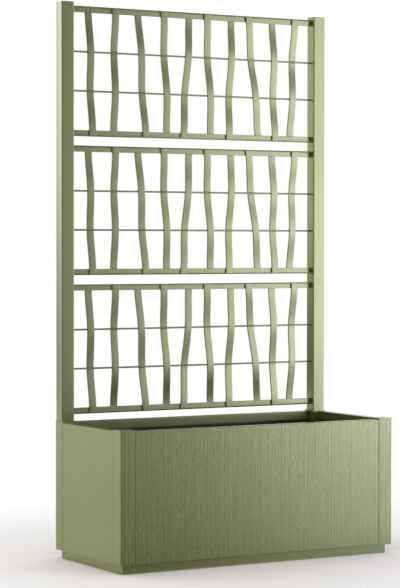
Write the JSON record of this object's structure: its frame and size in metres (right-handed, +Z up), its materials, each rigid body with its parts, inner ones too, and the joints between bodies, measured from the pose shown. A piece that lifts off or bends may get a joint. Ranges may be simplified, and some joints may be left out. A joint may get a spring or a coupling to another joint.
{
  "type": "rectangular trellis planter",
  "caption": "Long sheet-metal planter box on a recessed plinth, with square corner columns and a tall trellis of woven flat bars between two rear posts.",
  "frame": {"origin": "centre of the box footprint on the floor", "axes": "+X along the front to the right, +Y from the front to the rear where the trellis stands, +Z up"},
  "size_m": [1, 0.44, 1.772],
  "materials": {
    "olive_metal": "olive green satin metal paint with a fine upright grain",
    "liner_plastic": "black moulded plastic",
    "bolt_metal": "olive green painted heads"
  },
  "bodies": {
    "root": {"column_cap_front_left": "olive_metal", "column_cap_front_right": "olive_metal", "column_cap_rear_left": "olive_metal", "column_cap_rear_right": "olive_metal", "corner_column_front_left": "olive_metal", "corner_column_front_right": "olive_metal", "corner_column_rear_left": "olive_metal", "corner_column_rear_right": "olive_metal", "floor_plates": "olive_metal", "floor_supports": "olive_metal", "liner": "liner_plastic", "plinth_frame": "olive_metal", "post_bolts": "bolt_metal", "post_cap_left": "olive_metal", "post_cap_right": "olive_metal", "trellis_bar_bottom_01": "olive_metal", "trellis_bar_bottom_02": "olive_metal", "trellis_bar_bottom_03": "olive_metal", "trellis_bar_bottom_04": "olive_metal", "trellis_bar_bottom_05": "olive_metal", "trellis_bar_bottom_06": "olive_metal", "trellis_bar_bottom_07": "olive_metal", "trellis_bar_bottom_08": "olive_metal", "trellis_bar_bottom_09": "olive_metal", "trellis_bar_bottom_10": "olive_metal", "trellis_bar_middle_01": "olive_metal", "trellis_bar_middle_02": "olive_metal", "trellis_bar_middle_03": "olive_metal", "trellis_bar_middle_04": "olive_metal", "trellis_bar_middle_05": "olive_metal", "trellis_bar_middle_06": "olive_metal", "trellis_bar_middle_07": "olive_metal", "trellis_bar_middle_08": "olive_metal", "trellis_bar_middle_09": "olive_metal", "trellis_bar_middle_10": "olive_metal", "trellis_bar_top_01": "olive_metal", "trellis_bar_top_02": "olive_metal", "trellis_bar_top_03": "olive_metal", "trellis_bar_top_04": "olive_metal", "trellis_bar_top_05": "olive_metal", "trellis_bar_top_06": "olive_metal", "trellis_bar_top_07": "olive_metal", "trellis_bar_top_08": "olive_metal", "trellis_bar_top_09": "olive_metal", "trellis_bar_top_10": "olive_metal", "trellis_post_left": "olive_metal", "trellis_post_right": "olive_metal", "trellis_rail_bottom_lower": "olive_metal", "trellis_rail_bottom_upper": "olive_metal", "trellis_rail_middle_lower": "olive_metal", "trellis_rail_middle_upper": "olive_metal", "trellis_rail_top_lower": "olive_metal", "trellis_rail_top_upper": "olive_metal", "trellis_rods_bottom": "olive_metal", "trellis_rods_middle": "olive_metal", "trellis_rods_top": "olive_metal", "wall_panel_front": "olive_metal", "wall_panel_left": "olive_metal", "wall_panel_rear": "olive_metal", "wall_panel_right": "olive_metal"}
  },
  "joints": []
}
